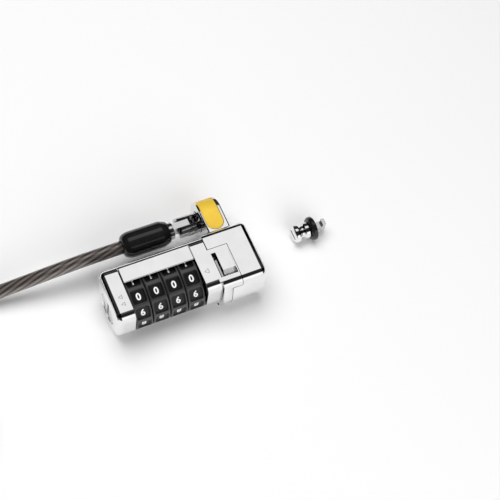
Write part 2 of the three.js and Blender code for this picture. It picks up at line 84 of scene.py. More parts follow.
def mesh_object(name, points, faces):
    mesh = bpy.data.meshes.new(name)
    mesh.from_pydata([at(*p) for p in points], [], faces)
    mesh.update()
    shape = bpy.data.objects.new(name, mesh)
    bpy.context.scene.collection.objects.link(shape)
    face_outwards(mesh)
    return shape


def face_outwards(mesh):
    shape = bmesh.new()
    shape.from_mesh(mesh)
    bmesh.ops.recalc_face_normals(shape, faces=shape.faces)
    shape.to_mesh(mesh)
    shape.free()


def apply_modifiers(shape):
    bpy.context.view_layer.update()
    graph = bpy.context.evaluated_depsgraph_get()
    mesh = bpy.data.meshes.new_from_object(shape.evaluated_get(graph))
    shape.modifiers.clear()
    shape.data = mesh


def combine(shape, tools, operation="DIFFERENCE"):
    """Cuts, adds or intersects each tool in turn, and takes the tool away."""
    for tool in tools:
        modifier = shape.modifiers.new("combine", "BOOLEAN")
        modifier.operation = operation
        modifier.solver = "EXACT"
        modifier.object = tool
        apply_modifiers(shape)
        bpy.data.objects.remove(tool)
    return shape


def cut(shape, *tools):
    return combine(shape, tools)


def add(shape, *tools):
    return combine(shape, tools, "UNION")


def keep(shape, *tools):
    return combine(shape, tools, "INTERSECT")


def smooth(shape, bevel=0.0, angle=32, segments=2):
    """Rounds the sharp edges by bevel millimetres, and shades all but the flats smooth."""
    mesh = shape.data
    tidy = bmesh.new()
    tidy.from_mesh(mesh)
    bmesh.ops.remove_doubles(tidy, verts=tidy.verts, dist=2e-6)
    bmesh.ops.dissolve_limit(tidy, angle_limit=math.radians(0.4), verts=tidy.verts, edges=tidy.edges)
    tidy.to_mesh(mesh)
    tidy.free()
    if bevel:
        modifier = shape.modifiers.new("bevel", "BEVEL")
        modifier.width = bevel * MM
        modifier.segments = segments
        modifier.limit_method = "ANGLE"
        modifier.angle_limit = math.radians(angle)
        modifier.use_clamp_overlap = True
        apply_modifiers(shape)
    shape.data.set_sharp_from_angle(angle=math.radians(38))     # makes every face smooth, so it comes first
    for face in shape.data.polygons:
        face.use_smooth = max(abs(v) for v in face.normal) < FLAT
    return shape


def box(x0, x1, y0, y1, z0, z1, name="box"):
    points = [(x, y, z) for x in (x0, x1) for y in (y0, y1) for z in (z0, z1)]
    faces = [(0, 1, 3, 2), (4, 6, 7, 5), (0, 4, 5, 1), (2, 3, 7, 6), (0, 2, 6, 4), (1, 5, 7, 3)]
    return mesh_object(name, points, faces)


def loft(name, sections):
    """A closed body through equal rings of points."""
    count = len(sections[0])
    points = [p for ring in sections for p in ring]
    faces = []
    for s in range(len(sections) - 1):
        for i in range(count):
            j = (i + 1) % count
            faces.append((s * count + i, s * count + j, (s + 1) * count + j, (s + 1) * count + i))
    faces.append(tuple(range(count)))
    faces.append(tuple(range((len(sections) - 1) * count, len(sections) * count)))
    return mesh_object(name, points, faces)


def extrude_x(name, outline, x0, x1):
    return loft(name, [[(x, y, z) for y, z in outline] for x in (x0, x1)])


def lathe_x(name, profile, y=0.0, z=0.0, x=0.0, steps=96):
    """A body turned about a line along X, from (x, radius) pairs. Its ends are closed with flat faces."""
    rings = []
    for along, radius in profile:
        ring = []
        for i in range(steps):
            turn = 2 * math.pi * i / steps
            ring.append((x + along, y + radius * math.cos(turn), z + radius * math.sin(turn)))
        rings.append(ring)
    return loft(name, rings)


def rod_x(radius, x0, x1, y=0.0, z=0.0, steps=96):
    return lathe_x("rod", [(x0, radius), (x1, radius)], y, z, steps=steps)


def tube_x(name, profile, bore, y=0.0, z=0.0, x=0.0):
    """A turned body with a straight hole through it."""
    shape = lathe_x(name, profile, y, z, x)
    return cut(shape, rod_x(bore, x + profile[0][0] - 1, x + profile[-1][0] + 1, y, z))


def rod_between(radius, start, end, steps=48):
    start, end = Vector(start), Vector(end)
    along = (end - start).normalized()
    side = along.orthogonal().normalized()
    other = along.cross(side)
    rings = []
    for centre in (start, end):
        ring = []
        for i in range(steps):
            turn = 2 * math.pi * i / steps
            ring.append(tuple(centre + radius * (math.cos(turn) * side + math.sin(turn) * other)))
        rings.append(ring)
    return loft("rod", rings)


def edge_steps(radius, count=4):
    """(distance from the end face, inset of the outline) along a rounded edge."""
    steps = []
    for i in range(count + 1):
        turn = math.pi / 2 * i / count
        steps.append((radius * (1 - math.cos(turn)), radius * (1 - math.sin(turn))))
    return steps


def body_outline(section, inset=0.0, steps=180):
    circles = [
        (-section["half"], PLATE_TOP - section["fillet"], section["fillet"] - inset),
        (section["half"], PLATE_TOP - section["fillet"], section["fillet"] - inset),
        (0, 0, section["round"] - inset),
    ]
    points = []
    for i in range(steps + 1):
        turn = math.pi / 2 + 2 * math.pi * i / steps
        nudged = turn + (1e-6 if i == 0 else -1e-6)
        y, z, r = max(circles, key=lambda c: c[0] * math.cos(nudged) + c[1] * math.sin(nudged) + c[2])
        height = min(max(z + r * math.sin(turn), REST), PLATE_TOP - inset)
        points.append((y + r * math.cos(turn), height))
    return points


def rounded_block(name, outline, start, end, start_edge=0.0, end_edge=0.0):
    """A body of one outline along X; outline(inset) gives it, and each end can have a rounded edge."""
    sections = []
    for distance, inset in (edge_steps(start_edge) if start_edge else [(0, 0)]):
        sections.append([(start + distance, y, z) for y, z in outline(inset)])
    for distance, inset in reversed(edge_steps(end_edge) if end_edge else [(0, 0)]):
        sections.append([(end - distance, y, z) for y, z in outline(inset)])
    return loft(name, sections)


def body_block(name, section, start, end, start_edge=0.0, end_edge=0.0):
    return rounded_block(name, lambda inset: body_outline(section, inset), start, end, start_edge, end_edge)


def ring_along(centres, radius, steps, squash=1.0):
    """Rings of a tube along a list of points, carried along without twisting."""
    rings = []
    side = None
    for i, centre in enumerate(centres):
        ahead = centres[min(i + 1, len(centres) - 1)] - centres[max(i - 1, 0)]
        ahead.normalize()
        if side is None:
            side = ahead.orthogonal()
        side = (side - ahead * side.dot(ahead)).normalized()
        other = ahead.cross(side)
        ring = []
        for k in range(steps):
            turn = 2 * math.pi * k / steps
            ring.append(centre + radius * (math.cos(turn) * side + squash * math.sin(turn) * other))
        rings.append(ring)
    return rings


# ---- Material helpers ----
def new_material(name):
    material = bpy.data.materials.new(name)
    material.use_nodes = True
    shader = material.node_tree.nodes["Principled BSDF"]
    return material, material.node_tree, shader


def node(tree, kind, **values):
    made = tree.nodes.new(kind)
    for key, value in values.items():
        setattr(made, key, value)
    return made


def noise(tree, scale, detail=3.0, stretch=(1, 1, 1)):
    place = node(tree, "ShaderNodeTexCoord")
    spread = node(tree, "ShaderNodeMapping")
    spread.inputs["Scale"].default_value = stretch
    grain = node(tree, "ShaderNodeTexNoise")
    grain.inputs["Scale"].default_value = scale
    grain.inputs["Detail"].default_value = detail
    tree.links.new(place.outputs["Object"], spread.inputs["Vector"])
    tree.links.new(spread.outputs["Vector"], grain.inputs["Vector"])
    return grain.outputs["Fac"]


def ramp(tree, value, stops, interpolation="LINEAR"):
    made = node(tree, "ShaderNodeValToRGB")
    made.color_ramp.interpolation = interpolation
    elements = made.color_ramp.elements
    while len(elements) < len(stops):
        elements.new(0.5)
    for element, (place, colour) in zip(elements, stops):
        element.position = place
        element.color = (*colour, 1) if len(colour) == 3 else colour
    tree.links.new(value, made.inputs["Fac"])
    return made.outputs["Color"]


def grey(value):
    return (value, value, value)


def rough_from(tree, shader, value, low, high):
    spread = node(tree, "ShaderNodeMapRange")
    spread.inputs["To Min"].default_value = low
    spread.inputs["To Max"].default_value = high
    tree.links.new(value, spread.inputs["Value"])
    tree.links.new(spread.outputs["Result"], shader.inputs["Roughness"])


def bump_from(tree, shader, value, strength, distance):
    bump = node(tree, "ShaderNodeBump")
    bump.inputs["Strength"].default_value = strength
    bump.inputs["Distance"].default_value = distance
    tree.links.new(value, bump.inputs["Height"])
    tree.links.new(bump.outputs["Normal"], shader.inputs["Normal"])


def metal(name, low, high, rough, stretch=(1, 1, 1), grain=900.0, bump=0.02):
    """A metal with slightly uneven colour, gloss and surface."""
    material, tree, shader = new_material(name)
    shader.inputs["Metallic"].default_value = 1.0
    patches = noise(tree, 120.0)
    tree.links.new(ramp(tree, patches, [(0.3, low), (0.7, high)]), shader.inputs["Base Color"])
    fine = noise(tree, grain, 4.0, stretch)
    rough_from(tree, shader, fine, rough * 0.7, rough * 1.3)
    bump_from(tree, shader, fine, bump, 0.00002)
    return material


def plastic(name, low, high, rough, grain=1500.0, bump=0.05):
    """A moulded plastic with a fine grain."""
    material, tree, shader = new_material(name)
    patches = noise(tree, 200.0)
    tree.links.new(ramp(tree, patches, [(0.3, low), (0.7, high)]), shader.inputs["Base Color"])
    fine = noise(tree, grain, 2.0)
    rough_from(tree, shader, fine, rough * 0.8, rough * 1.2)
    bump_from(tree, shader, fine, bump, 0.00003)
    return material


def cable_material():
    """Twisted strands seen through a clear sheath. Each strand is dark at its edges and light at its middle:
    painted shade between the strands and a painted highlight on each. U runs round the cable, V along it in
    turns of twist.
    """
    material, tree, shader = new_material("sheathed_strands")
    place = node(tree, "ShaderNodeUVMap", uv_map="twist")
    split = node(tree, "ShaderNodeSeparateXYZ")
    tree.links.new(place.outputs["UV"], split.inputs["Vector"])
    slant = node(tree, "ShaderNodeMath", operation="ADD")
    tree.links.new(split.outputs["X"], slant.inputs[0])
    tree.links.new(split.outputs["Y"], slant.inputs[1])
    count = node(tree, "ShaderNodeMath", operation="MULTIPLY")
    count.inputs[1].default_value = 9.0
    tree.links.new(slant.outputs["Value"], count.inputs[0])
    part = node(tree, "ShaderNodeMath", operation="PINGPONG")
    part.inputs[1].default_value = 0.5
    tree.links.new(count.outputs["Value"], part.inputs[0])
    double = node(tree, "ShaderNodeMath", operation="MULTIPLY")
    double.inputs[1].default_value = 2.0
    tree.links.new(part.outputs["Value"], double.inputs[0])
    strands = double.outputs["Value"]
    # Dark between the strands and light on their middles: painted shade and a painted highlight on the real
    # strand pattern.
    colour = ramp(tree, strands, [
        (0.0, (0.035, 0.028, 0.025)), (0.35, (0.12, 0.10, 0.09)), (1.0, (0.27, 0.24, 0.22)),
    ])
    tree.links.new(colour, shader.inputs["Base Color"])
    shader.inputs["Metallic"].default_value = 0.55
    rough_from(tree, shader, noise(tree, 900.0), 0.34, 0.5)
    bump_from(tree, shader, strands, 0.12, 0.0002)
    shader.inputs["Coat Weight"].default_value = 1.0
    shader.inputs["Coat Roughness"].default_value = 0.05
    return material


CHROME = metal("polished_chrome", grey(0.80), grey(0.86), 0.045, grain=500.0, bump=0.01)
STEEL = metal("satin_steel", grey(0.60), grey(0.70), 0.18, stretch=(1, 12, 12), grain=700.0, bump=0.08)
SPRING = metal("spring_steel", grey(0.34), grey(0.45), 0.3)
BRASS = metal("turned_brass", (0.50, 0.34, 0.12), (0.62, 0.45, 0.18), 0.28, stretch=(12, 1, 1))
WHEEL_PLASTIC = plastic("black_wheel_plastic", grey(0.028), grey(0.04), 0.2, bump=0.04)
# Near-black matte plastic for the wheel pockets and the recess round the yellow inlay; its darkness is
# painted shade in these hollows.
POCKET_SHADE_PLASTIC = plastic("black_pocket_shade_plastic", grey(0.004), grey(0.008), 0.55, bump=0.05)
GLOSS_BLACK = plastic("glossy_black_plastic", grey(0.008), grey(0.014), 0.1, bump=0.02)
DIGIT_PAINT = plastic("white_digit_paint", grey(0.80), grey(0.9), 0.5)
YELLOW = plastic("yellow_plastic", (0.80, 0.52, 0.045), (0.86, 0.58, 0.06), 0.42, bump=0.05)
# Dark grey given to the floors of the engraved marks.
MARK_FLOOR_GREY = plastic("grey_mark_floor", grey(0.05), grey(0.09), 0.6)
STRANDS = cable_material()


def place(shape, material, body, slot, *nodes):
    """Gives a finished piece its material and its body, and hides the CAD nodes that it stands for."""
    shape.data.materials.clear()
    shape.data.materials.append(material)
    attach(shape, body)
    if nodes:
        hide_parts(*nodes)
    return shape


def paint(shape, material, wanted):
    """Gives a second material to the faces whose middle, in the lock's frame, is wanted."""
    shape.data.materials.append(material)
    for face in shape.data.polygons:
        face.material_index = int(wanted(face.center / MM - LOCK_ORIGIN))


def paint_marks(shape, start, end):
    """Darkens the floors of the marks engraved in the top plate between two places along X."""
    floor = PLATE_TOP - MARK_DEPTH
    paint(shape, MARK_FLOOR_GREY, lambda middle: abs(middle.z - floor) < 0.03 and start < middle.x < end)


# ---- Camera, floor and light ----
def make_camera():
    data = bpy.data.cameras.new("camera")
    data.sensor_width = 36
    data.lens = 92.417
    camera = bpy.data.objects.new("camera", data)
    camera.location = (-0.132794, -0.194775, 0.48504)
    camera.rotation_euler = [math.radians(a) for a in (26.7467, -6.2611, -23.7217)]
    bpy.context.scene.collection.objects.link(camera)
    bpy.context.scene.camera = camera


def make_floor():
    size = 3.0
    mesh = bpy.data.meshes.new("floor")
    corners = [(x * size, y * size, 0) for x, y in ((-1, -1), (1, -1), (1, 1), (-1, 1))]
    mesh.from_pydata(corners, [], [(0, 1, 2, 3)])
    floor = bpy.data.objects.new("floor", mesh)
    bpy.context.scene.collection.objects.link(floor)
    material, tree, shader = new_material("pale_floor")
    shader.inputs["Roughness"].default_value = 0.9
    shader.inputs["Specular IOR Level"].default_value = 0.1
    pale = ramp(tree, noise(tree, 4.0), [(0, grey(0.90)), (1, grey(0.92))])
    tree.links.new(pale, shader.inputs["Base Color"])
    mesh.materials.append(material)


def make_world():
    """A white studio with dark strips over the lock and at its ends, which give chrome its dark lines."""
    world = bpy.data.worlds.new("studio")
    bpy.context.scene.world = world
    world.use_nodes = True
    tree = world.node_tree
    background = tree.nodes["Background"]
    place_ = node(tree, "ShaderNodeTexCoord")
    split = node(tree, "ShaderNodeSeparateXYZ")
    tree.links.new(place_.outputs["Generated"], split.inputs["Vector"])
    lean = node(tree, "ShaderNodeMath", operation="ARCTAN2")
    tree.links.new(split.outputs["Y"], lean.inputs[0])
    tree.links.new(split.outputs["Z"], lean.inputs[1])
    turn = node(tree, "ShaderNodeMath", operation="MULTIPLY_ADD")
    turn.inputs[1].default_value = 1 / (2 * math.pi)
    turn.inputs[2].default_value = 0.5
    tree.links.new(lean.outputs["Value"], turn.inputs[0])

    def lean_at(degrees):
        return degrees / 360 + 0.5

    strips = [
        (-180, 1.0), (-58, 1.2), (-50, 0.02), (-2, 0.02), (8, 0.95), (31, 0.97), (36, 0.03), (108, 0.03),
        (116, 1.0), (180, 1.0),
    ]
    colour = ramp(tree, turn.outputs["Value"], [(lean_at(a), grey(v)) for a, v in strips])
    side = node(tree, "ShaderNodeMath", operation="MULTIPLY_ADD")
    side.inputs[1].default_value = 0.5
    side.inputs[2].default_value = 0.5
    tree.links.new(split.outputs["X"], side.inputs[0])
    ends = [(-1, 0.04), (-0.3, 0.03), (-0.2, 1.0), (0.45, 1.0), (0.56, 0.03), (1, 0.04)]
    across = ramp(tree, side.outputs["Value"], [((x + 1) / 2, grey(v)) for x, v in ends])
    both = node(tree, "ShaderNodeVectorMath", operation="MULTIPLY")
    tree.links.new(colour, both.inputs[0])
    tree.links.new(across, both.inputs[1])
    tree.links.new(both.outputs["Vector"], background.inputs["Color"])
    background.inputs["Strength"].default_value = 1.0


def area_light(name, location, target, size, power):
    data = bpy.data.lights.new(name, "AREA")
    data.shape = "DISK"
    data.size = size
    data.energy = power
    light = bpy.data.objects.new(name, data)
    light.location = location
    aim = Vector(target) - Vector(location)
    light.rotation_euler = aim.to_track_quat("-Z", "Y").to_euler()
    light.visible_glossy = False
    bpy.context.scene.collection.objects.link(light)


# ---- Cable ----
ROUTE = [
    (-38.4, 22.7, 14.1), (-44, 22.7, 14.1), (-50, 22.7, 14.0), (-56, 22.8, 13.65), (-62, 22.95, 12.9),
    (-68, 23.2, 11.9), (-74, 23.5, 10.7), (-80, 23.9, 9.3), (-86, 24.3, 7.9), (-92, 24.7, 6.5),
    (-98, 25.1, 5.2), (-104, 25.5, 4.1), (-110, 25.8, 3.4), (-116, 26, 3), (-123, 26.15, 2.87),
    (-131, 26.2, 2.85), (-139, 26.2, 2.85), (-147, 26.2, 2.85),
]
COIL = dict(x=-153.9, y=-13.8, outer=40, inner=20, layers=(2.85, 8.45, 14.2), top=11.3)
CROSSING = dict(leave=135, arc=110, radius=22.4, straight=2)
CRIMP = dict(length=12, half=6.4, height=6.6)
EYE = dict(radius=18, reach=21.5, leg=3.2, open=232)
LIFT = COIL["top"] + 0.05 + CRIMP["height"] / 2
END_TURN = CROSSING["leave"] + CROSSING["arc"]


def eased(share):
    return share * share * (3 - 2 * share)


def polar(x, y, radius, degrees, z):
    angle = math.radians(degrees)
    return (x + radius * math.cos(angle), y + radius * math.sin(angle), z)


def coil_points(per_turn=32):
    """Two layers and the start of a third, wound from the far side of the coil: in, out, and up on top."""
    low, high, top = COIL["layers"]
    outer, inner = COIL["outer"], COIL["inner"]
    flat = (CROSSING["leave"] - 90) / 360
    points = []
    for i in range(int((8 + flat) * per_turn) + 1):
        turn = i / per_turn
        radius, z = outer, top
        if turn < 3.5:
            radius, z = outer - (outer - inner) * turn / 3.5, low
        elif turn < 4:
            radius, z = inner, low + (high - low) * eased((turn - 3.5) * 2)
        elif turn < 7.5:
            radius, z = inner + (outer - inner) * (turn - 4) / 3.5, high
        elif turn < 8:
            z = high + (top - high) * eased((turn - 7.5) * 2)
        points.append(polar(COIL["x"], COIL["y"], radius, 90 + 360 * turn, z))
    return points


def crossing_points(steps=10):
    """From the coil's outer turn in a tighter arc across its top, to the crimp."""
    top = COIL["layers"][-1]
    radius, arc = CROSSING["radius"], CROSSING["arc"]
    x, y, _ = polar(COIL["x"], COIL["y"], COIL["outer"] - radius, CROSSING["leave"], top)
    points = []
    for i in range(1, steps + 1):
        share = i / steps
        points.append(polar(x, y, radius, CROSSING["leave"] + share * arc, top + share * (LIFT - top)))
    points.append(polar(*points[-1][:2], CROSSING["straight"], END_TURN + 90, LIFT))
    return points


def spline_through(points, gap):
    """Points a set distance apart along one smooth curve through the given ones."""
    places = [Vector(p) * MM for p in points]
    dense = []
    for i in range(len(places) - 1):
        before = places[max(i - 1, 0)]
        start, end = places[i], places[i + 1]
        after = places[min(i + 2, len(places) - 1)]
        for k in range(8):
            t = k / 8
            dense.append(0.5 * (2 * start + (end - before) * t
                                + (2 * before - 5 * start + 4 * end - after) * t * t
                                + (3 * start - before - 3 * end + after) * t ** 3))
    dense.append(places[-1])
    spaced = [dense[0]]
    travelled = 0.0
    for previous, current in zip(dense, dense[1:]):
        step = (current - previous).length
        while travelled + step >= gap:
            previous = previous.lerp(current, (gap - travelled) / step)
            step = (current - previous).length
            spaced.append(previous.copy())
            travelled = 0.0
        travelled += step
    spaced.append(places[-1])
    return spaced


def length_of(points):
    return sum((b - a).length for a, b in zip(points, points[1:]))


def tube_mesh(name, centres, radius, sides, twist):
    """A round tube along centres, with a UV layer that runs round it and along its twist."""
    rings = ring_along(centres, radius, sides)
    mesh = bpy.data.meshes.new(name)
    faces = []
    for s in range(len(rings) - 1):
        for i in range(sides):
            j = (i + 1) % sides
            faces.append((s * sides + i, s * sides + j, (s + 1) * sides + j, (s + 1) * sides + i))
    faces.append(tuple(reversed(range(sides))))
    faces.append(tuple(range((len(rings) - 1) * sides, len(rings) * sides)))
    mesh.from_pydata([p for ring in rings for p in ring], [], faces)
    layer = mesh.uv_layers.new(name="twist")
    gap = length_of(centres) / (len(centres) - 1)
    for polygon in mesh.polygons:
        for corner, loop in enumerate(polygon.loop_indices):
            vertex = mesh.loops[loop].vertex_index
            ring, side = divmod(vertex, sides)
            wraps = len(polygon.vertices) == 4 and side == 0 and corner in (1, 2)
            layer.data[loop].uv = ((side + (sides if wraps else 0)) / sides, ring * gap / twist)
    mesh.polygons.foreach_set("use_smooth", [True] * len(mesh.polygons))
    face_outwards(mesh)
    shape = bpy.data.objects.new(name, mesh)
    bpy.context.scene.collection.objects.link(shape)
    return shape


def make_cable():
    route = ROUTE + coil_points() + crossing_points()
    centres = spline_through(route, 0.0024)
    cable = tube_mesh("sheathed_cable", centres, CABLE_RADIUS * MM, 24, twist=0.06)
    place(cable, STRANDS, "cable_side", "cable_skin", "cable", "cable_coil", "cable_tail")
    tip = polar(*route[-1][:2], GAP, END_TURN + 90, LIFT)
    to_tip = Matrix.Translation(Vector(tip) * MM) @ Matrix.Rotation(math.radians(END_TURN), 4, "Z")
    crimp, eye = make_crimp(to_tip), make_eye(to_tip)


def make_crimp(to_tip):
    """An oval black sleeve along Y, with rounded ends."""
    half, radius, length = CRIMP["half"], CRIMP["height"] / 2, CRIMP["length"]

    def oval(y, inset):
        ring = []
        for side in (1, -1):
            for k in range(17):
                turn = -math.pi / 2 + math.pi * k / 16
                ring.append((
                    side * (half - radius) + side * (radius - inset) * math.cos(turn),
                    y,
                    side * (radius - inset) * math.sin(turn),
                ))
        return ring

    rings = [oval(distance, inset) for distance, inset in edge_steps(1.2)]
    rings += [oval(length - distance, inset) for distance, inset in reversed(edge_steps(1.2))]
    crimp = loft("end_crimp", rings)
    crimp.data.transform(to_tip @ Matrix.Translation(-LOCK_ORIGIN * MM))
    smooth(crimp)
    return place(crimp, GLOSS_BLACK, "cable_side", "black_plastic", "eye_crimp")


def make_eye(to_tip):
    root = CRIMP["length"] + GAP
    leg, opening = EYE["leg"], EYE["open"]
    points = [(-leg, root, 0), (-leg, root + 1.5, 0)]
    for i in range(25):
        degrees = opening - (2 * opening - 180) * i / 24
        points.append(polar(0, root + EYE["reach"], EYE["radius"], degrees, 0))
    points += [(leg, root + 1.5, 0), (leg, root, 0)]
    centres = [to_tip @ p for p in spline_through(points, 0.0015)]
    eye = tube_mesh("cable_end_loop", centres, CABLE_RADIUS * MM, 24, twist=0.06)
    return place(eye, STRANDS, "cable_side", "cable_skin", "end_eye")


# ---- Lock body ----
def triangle_mark(x, y, size=1.7):
    """A thin line triangle, pointing towards -X, as a shallow tool to engrave the plate with."""
    height, line = 0.3, 0.24
    rings = []
    for scale in (1.0, 1 - 2 * line / size):
        rings.append([(x + size * (0.33 - dx) * scale, y + dy * size * 0.5 * scale)
                      for dx, dy in ((1, 0), (0, 1), (0, -1))])
    levels = (PLATE_TOP - MARK_DEPTH, PLATE_TOP + height)
    outer, inner = [loft("mark", [[(px, py, z) for px, py in ring] for z in levels]) for ring in rings]
    return cut(outer, inner)


def make_cap():
    cap = body_block("rear_cap_cover", CAP, CAP_END, CAP_FACE, END_EDGE, 0.15)
    cut(cap, rod_x(6.5, CAP_END - 1, -20.6), rod_x(3.2, -21, CAP_FACE + 1))
    smooth(cap, 0.12)
    cut(cap, triangle_mark(-18.7, -2.3), triangle_mark(-18.6, -5.5))
    smooth(cap)
    place(cap, CHROME, "lock_body", "chrome", "rear_cap")
    paint_marks(cap, -20.5, -17)
    screw = lathe_x("code_change_screw_head", [
        (CAP_END + 0.35, 5.7), (CAP_END + 0.2, 5.9), (CAP_END + 0.25, 6.1), (CAP_END + 0.5, 6.2),
        (-20.9, 6.2), (-20.9, 4.1), (-19.2, 4.1),
    ])
    cut(screw, box(CAP_END - 1, CAP_END + 1.1, -0.7, 0.7, -4.6, 4.6))
    smooth(screw, 0.1)
    place(screw, STEEL, "code_screw", "steel", "code_change_screw")


def make_housing():
    housing = body_block("wheel_housing", CAP, CAP_FACE + GAP, BLOCK_START + 1, 0.15)
    cut(
        housing,
        rod_x(12, CAP_FACE - 1, BLOCK_START, steps=160),
        box(CAP_FACE - 1, BLOCK_START, -20, 2.5, -20, 20),
        box(CAP_FACE - 1, BLOCK_START, -20, 20, -20, -4.5),
        box(CAP_FACE - 1, BLOCK_START, -20, 9.9, 11.4, 20),
    )
    collar = body_block("collar", CAP, BLOCK_START, SEAM)
    tongue = body_block("tongue", HEAD, SEAM - 0.4, TONGUE_END)
    tongue_space = box(SEAM - 0.4, TONGUE_END, -20, TONGUE_BACK, TONGUE_LOW, 20)
    add(tongue_space, box(SEAM - 0.4, TONGUE_FRONT_END, -20, TONGUE_FRONT, TONGUE_FRONT_LOW, TONGUE_LOW + 1))
    keep(tongue, tongue_space)
    cut(tongue, box(SEAM - 1, SEAM + 0.6, -20, -10.6, -9, 13))
    add(housing, collar, tongue)
    cut(
        housing,
        box(*WINDOW, TONGUE_LOW - 1, 14),
        rod_x(3.2, BLOCK_START - 1, SEAM + 1),
        rod_x(5.7, BLOCK_START - 1, 16.2),
    )
    smooth(housing, 0.12)
    cut(housing, triangle_mark(17.6, -3.9, 2.0))
    smooth(housing)
    place(housing, CHROME, "lock_body", "chrome", "main_housing")
    paint_marks(housing, 15.8, 19.6)
    band = extrude_x("name_band", [(2.8, 11.75), (9.5, 11.75), (9.5, 12.9), (2.8, 12.9)],
                     CAP_FACE + GAP, BLOCK_START - GAP)
    smooth(band, 0.28, segments=3)
    place(band, CHROME, "lock_body", "chrome", "label_band")


def make_head():
    head = body_block("head_cover", HEAD, SEAM + GAP, HEAD_END, 0.15, END_EDGE)
    cut(
        head,
        box(SEAM - 1, TONGUE_END + 0.22, -20, TONGUE_BACK + 0.22, TONGUE_LOW - GAP, 20),
        box(SEAM - 1, TONGUE_FRONT_END + 0.22, -20, TONGUE_FRONT + GAP, TONGUE_FRONT_LOW - GAP, TONGUE_LOW),
        box(SEAM - 1, 33.6, -7.6, 7.6, -9.9, TONGUE_LOW - 0.15),
        rod_x(6.5, 32.6, HEAD_END + 1),
    )
    smooth(head, 0.12)
    place(head, CHROME, "lock_body", "chrome", "head_sleeve")
    socket = tube_x("anchor_socket_liner", [(0, 6.2), (6.4, 6.2), (6.7, 6.0)], 4.6, x=33.9)
    smooth(socket, 0.15)
    place(socket, GLOSS_BLACK, "lock_body", "black_plastic", "anchor_socket")


def make_button():
    start, end, back, front, toe = 23.5, 28.9, 2.4, -6.05, -8.1
    step, foot, ledge = -6.9, 7.5, 9.3
    top = PLATE_TOP + 0.9
    side = [
        (back, foot), (back, top), (front, top), (toe, PLATE_TOP - 0.9), (toe, ledge), (step, ledge),
        (step, foot),
    ]
    button = extrude_x("thumb_slide", side, start, end)
    for rib in range(5):
        y = front - 0.25 - rib * 0.4
        z = top - 0.32 - rib * 0.38
        cut(button, box(start - 1, end + 1, y - 0.1, y + 0.1, z, z + 2))
    add(button, box(start - 0.4, 31, -7, 5, 7, 8.6))
    add(button, cut(
        box(25.3, 29.4, -5.6, 5.6, -1, 7.2),
        box(26.4, 28.3, -4.8, 4.8, -2, 4.8),
        box(24.7, 30, -3.2, 3.2, -2, 3.2),
    ))
    smooth(button, 0.13)
    place(button, CHROME, "slider", "chrome", "release_button")


# ---- Number wheels ----
def pocket_tool(x, digit):
    """A tapered block with rounded corners that cuts the pocket of one digit."""
    rings = []
    for radius, half_x, half_y, corner in ((WHEEL["floor"], 2.45, 2.35, 0.5), (11.9, 3.05, 3.2, 0.8)):
        ring = []
        for quarter in range(4):
            for k in range(5):
                turn = math.pi / 2 * (quarter + k / 4)
                side_x = 1 if quarter in (0, 3) else -1
                side_y = 1 if quarter in (0, 1) else -1
                across = side_x * (half_x - corner) + corner * math.cos(turn)
                up = side_y * (half_y - corner) + corner * math.sin(turn)
                ring.append(digit_point(x, digit, across, up, radius))
        rings.append(ring)
    return loft("pocket", rings)


def digit_point(x, digit, across, up, radius):
    """A point on the plane of one digit, whose top points round the wheel and down the front."""
    lean = math.radians(DIGIT_PHASE - 36 * digit)
    return (
        x - across,
        -math.sin(lean) * radius - math.cos(lean) * up,
        math.cos(lean) * radius - math.sin(lean) * up,
    )


def digit_mesh(digit):
    """The flat faces of one digit, about 2.9 mm tall, as vertices and faces."""
    data = bpy.data.curves.new("digit", "FONT")
    data.body = str(digit)
    data.size = 3.95
    data.offset = 0.11
    data.align_x = "CENTER"
    data.align_y = "CENTER"
    data.extrude = 0.06
    data.resolution_u = 6
    text = bpy.data.objects.new("digit", data)
    bpy.context.scene.collection.objects.link(text)
    bpy.context.view_layer.update()
    mesh = bpy.data.meshes.new_from_object(text.evaluated_get(bpy.context.evaluated_depsgraph_get()))
    points = [tuple(v.co) for v in mesh.vertices]
    middle_x = (max(p[0] for p in points) + min(p[0] for p in points)) / 2
    middle_y = (max(p[1] for p in points) + min(p[1] for p in points)) / 2
    points = [(p[0] - middle_x, p[1] - middle_y, p[2]) for p in points]
    faces = [tuple(f.vertices) for f in mesh.polygons]
    bpy.data.objects.remove(text)
    if digit == 1:
        low, depth = min(p[1] for p in points), data.extrude
        first = len(points)
        points += [(x, low + y, depth) for x, y in ((-0.85, 0), (0.85, 0), (0.85, 0.5), (-0.85, 0.5))]
        faces.append((first, first + 1, first + 2, first + 3))
    return points, faces


def make_wheels():
    glyphs = [digit_mesh(d) for d in range(10)]
    for i, x in enumerate(WHEEL_X):
        half = WHEEL["half"]
        wheel = tube_x(f"digit_wheel_{i + 1}", [
            (-half, WHEEL["outer"] - 0.4), (-half + 0.3, WHEEL["outer"]), (half - 0.3, WHEEL["outer"]),
            (half, WHEEL["outer"] - 0.4),
        ], WHEEL["bore"], x=x)
        for digit in range(10):
            cut(wheel, pocket_tool(x, digit))
        smooth(wheel, 0.09)
        body = f"wheel_{i + 1}"
        place(wheel, WHEEL_PLASTIC, body, "black_wheel", f"number_wheel_{i + 1}")
        # The pocket floors and walls are made near-black: painted shade in the pockets.
        paint(wheel, POCKET_SHADE_PLASTIC, lambda middle: (
            WHEEL["bore"] + 1 < math.hypot(middle.y, middle.z) < WHEEL["floor"] + 0.9
            and abs(middle.x - x) < WHEEL["half"] - 0.4
        ))
        points, faces = [], []
        for digit, (flat, glyph_faces) in enumerate(glyphs):
            first = len(points)
            for across, up, depth in flat:
                points.append(digit_point(x, digit, across, up, WHEEL["floor"] + 0.02 + depth))
            faces += [tuple(first + v for v in face) for face in glyph_faces]
        digits = mesh_object(f"digits_{i + 1}", points, faces)
        place(digits, DIGIT_PAINT, body, "black_wheel")


